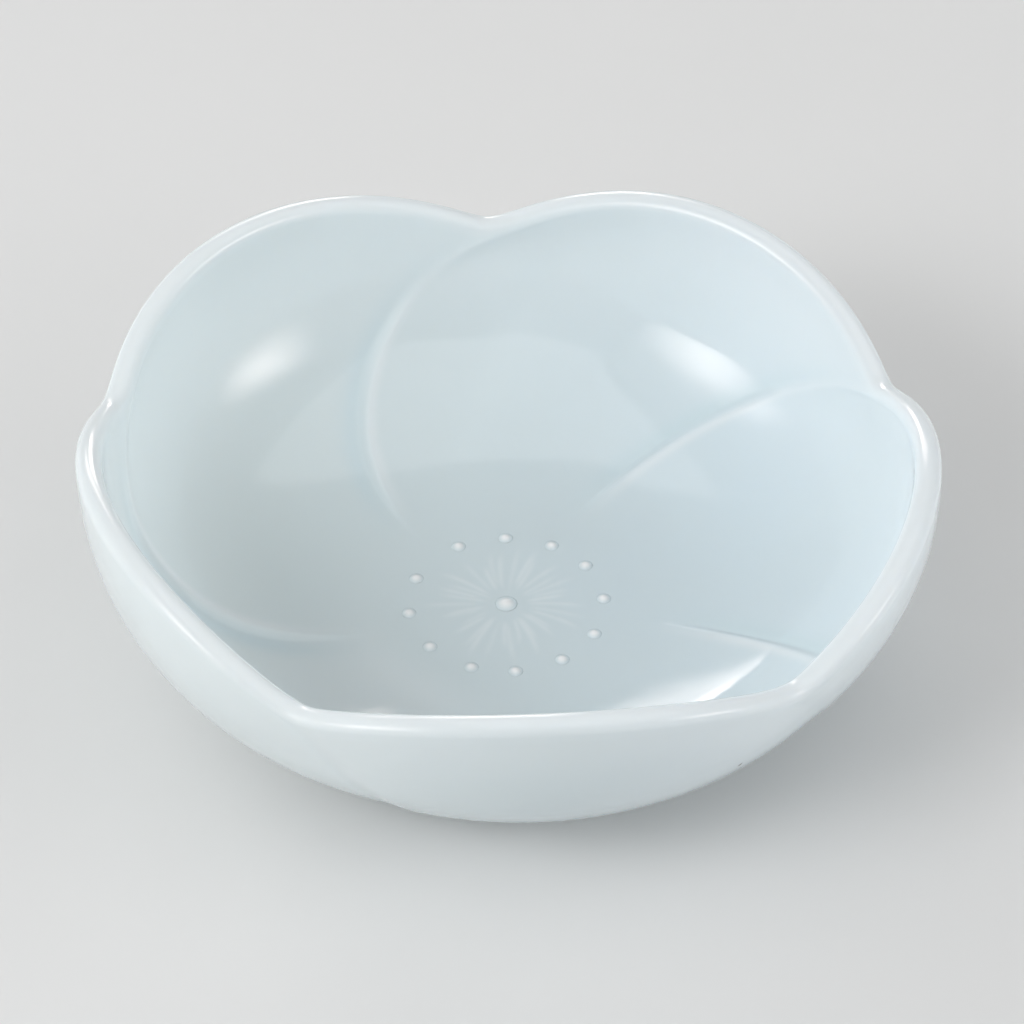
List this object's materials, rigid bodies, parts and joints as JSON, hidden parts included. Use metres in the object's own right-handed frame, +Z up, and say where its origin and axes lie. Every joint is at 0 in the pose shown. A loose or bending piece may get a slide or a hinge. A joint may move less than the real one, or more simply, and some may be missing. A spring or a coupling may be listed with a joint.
{
  "type": "shallow plum-blossom bowl",
  "caption": "Shallow porcelain bowl shaped as a plum blossom, its overlapping petals turned like a pinwheel, on a low ring foot, with a bead flower centre inside.",
  "frame": {"origin": "on the axis of the foot ring, in the plane that the foot rests on", "axes": "+Z up out of the bowl's mouth; -Y towards the viewer of the picture, where one petal stands front and centre; +X to the viewer's right"},
  "size_m": [0.1369, 0.1325, 0.0483],
  "materials": {
    "pale_blue_glaze": "clear pale blue-white glaze, glossy, bluer where it pools beside the petal edges",
    "thin_glaze": "the same glaze, thin and nearly white on small raised beads",
    "unglazed_foot": "white porcelain body, wiped bare of glaze on the edge that rests on the table"
  },
  "bodies": {
    "root": {"petal_bowl": "pale_blue_glaze", "foot_ring": "unglazed_foot", "pistil": "thin_glaze", "anther_01": "thin_glaze", "anther_02": "thin_glaze", "anther_03": "thin_glaze", "anther_04": "thin_glaze", "anther_05": "thin_glaze", "anther_06": "thin_glaze", "anther_07": "thin_glaze", "anther_08": "thin_glaze", "anther_09": "thin_glaze", "anther_10": "thin_glaze", "anther_11": "thin_glaze", "anther_12": "thin_glaze"}
  },
  "joints": []
}
